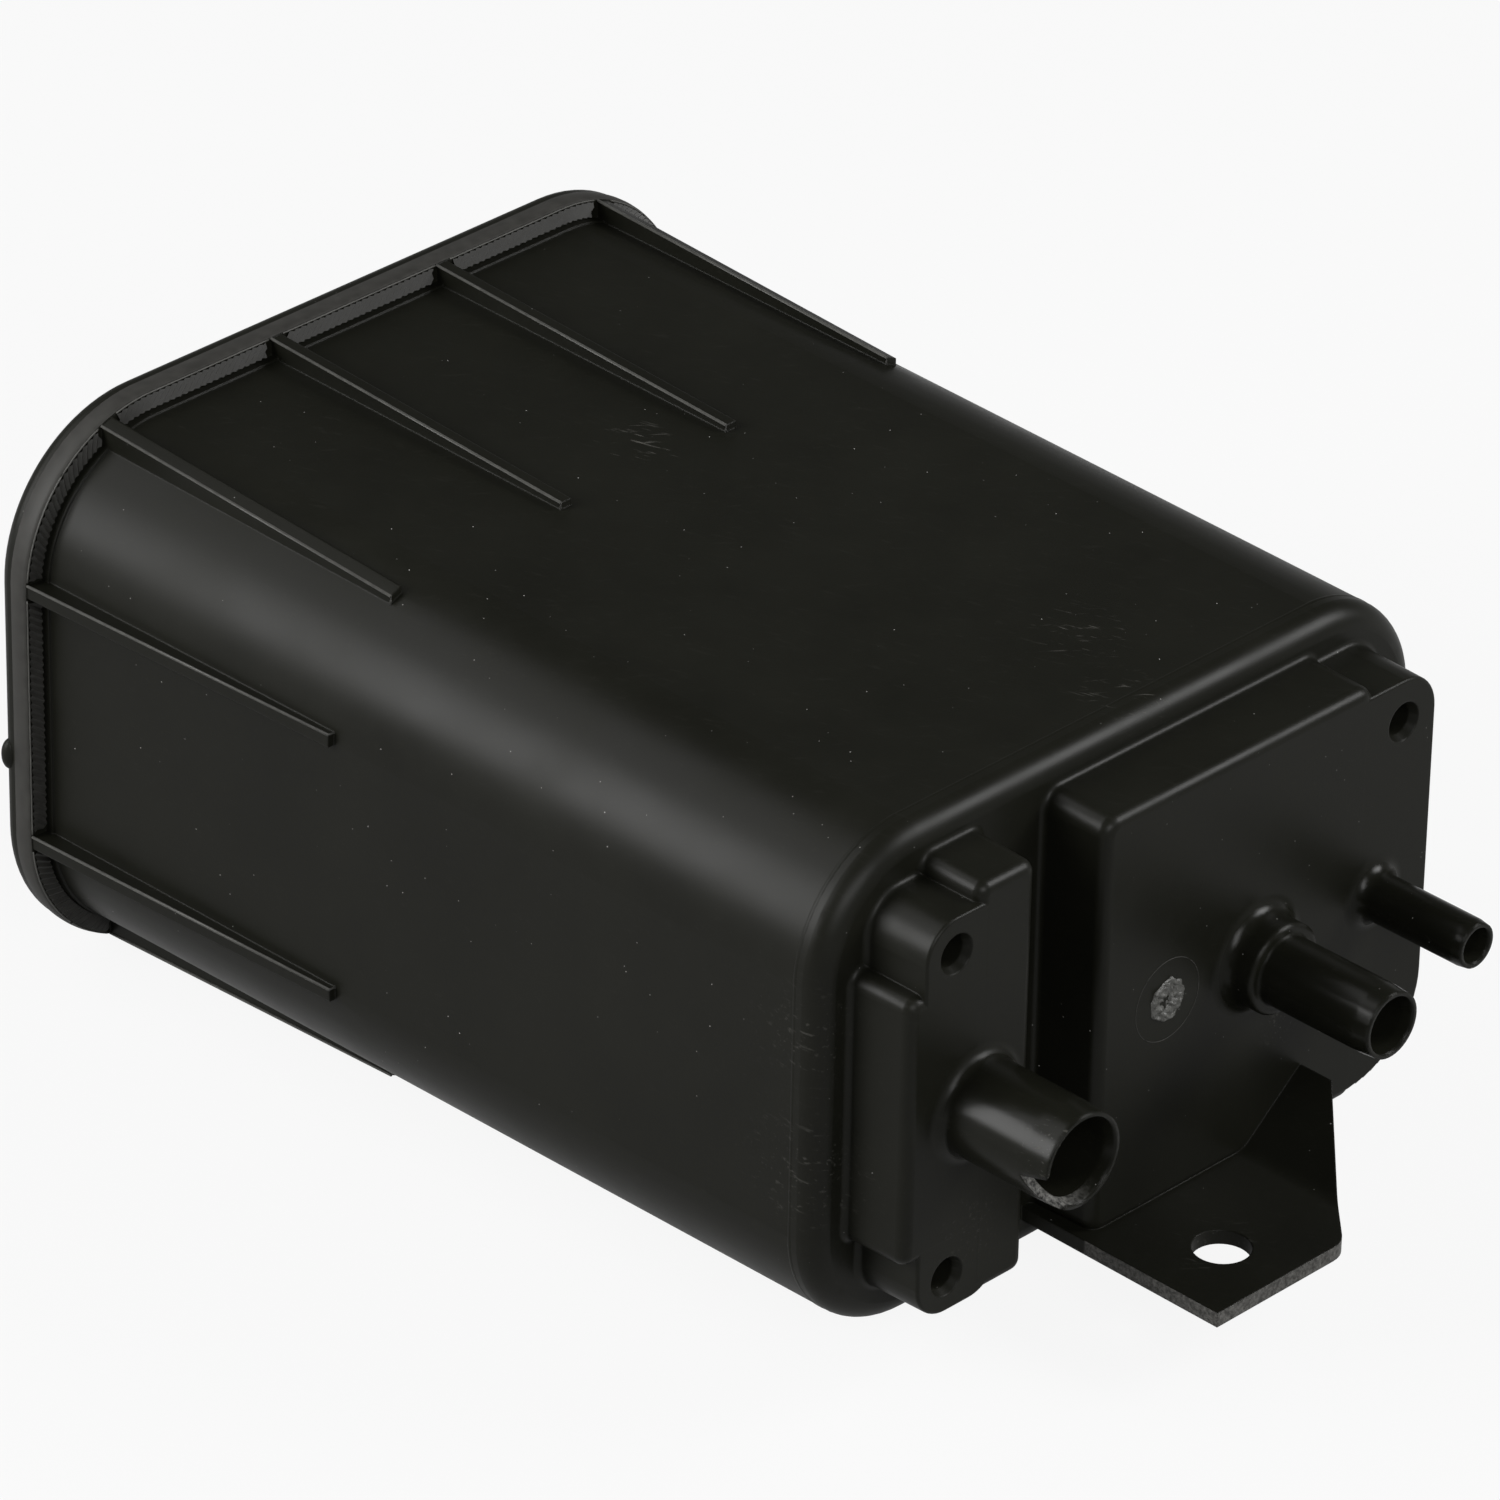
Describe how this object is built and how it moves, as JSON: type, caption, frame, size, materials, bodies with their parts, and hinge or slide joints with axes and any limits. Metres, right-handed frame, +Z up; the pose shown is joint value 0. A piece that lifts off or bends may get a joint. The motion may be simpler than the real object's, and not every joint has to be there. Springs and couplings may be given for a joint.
{
  "type": "charcoal canister",
  "caption": "Fuel vapour charcoal canister: rounded box housing with ribbed rear flange, welded end cap, hose ports, a bracket foot and carbon beds inside.",
  "frame": {"origin": "on the supporting plane, under the middle of the object's bounding box", "axes": "+X along the housing towards the hose ports, +Y to the side of the small port, +Z up"},
  "size_m": [0.2126, 0.141, 0.0962],
  "materials": {
    "housing": "satin black moulded nylon",
    "cap": "satin black moulded nylon",
    "fleece": "white polyester fleece",
    "carbon": "matt black carbon pellets",
    "grid": "dark grey moulded plastic",
    "spring": "drawn spring wire"
  },
  "bodies": {
    "root": {"canister_body": "housing", "end_cap": "cap", "main_front_filter": "fleece", "main_carbon_bed": "carbon", "main_rear_filter": "fleece", "main_spring_plate": "grid", "main_upper_spring": "spring", "main_lower_spring": "spring", "vent_front_filter": "fleece", "vent_carbon_bed": "carbon", "vent_rear_filter": "fleece", "vent_spring_plate": "grid", "vent_upper_spring": "spring", "vent_lower_spring": "spring"}
  },
  "joints": []
}
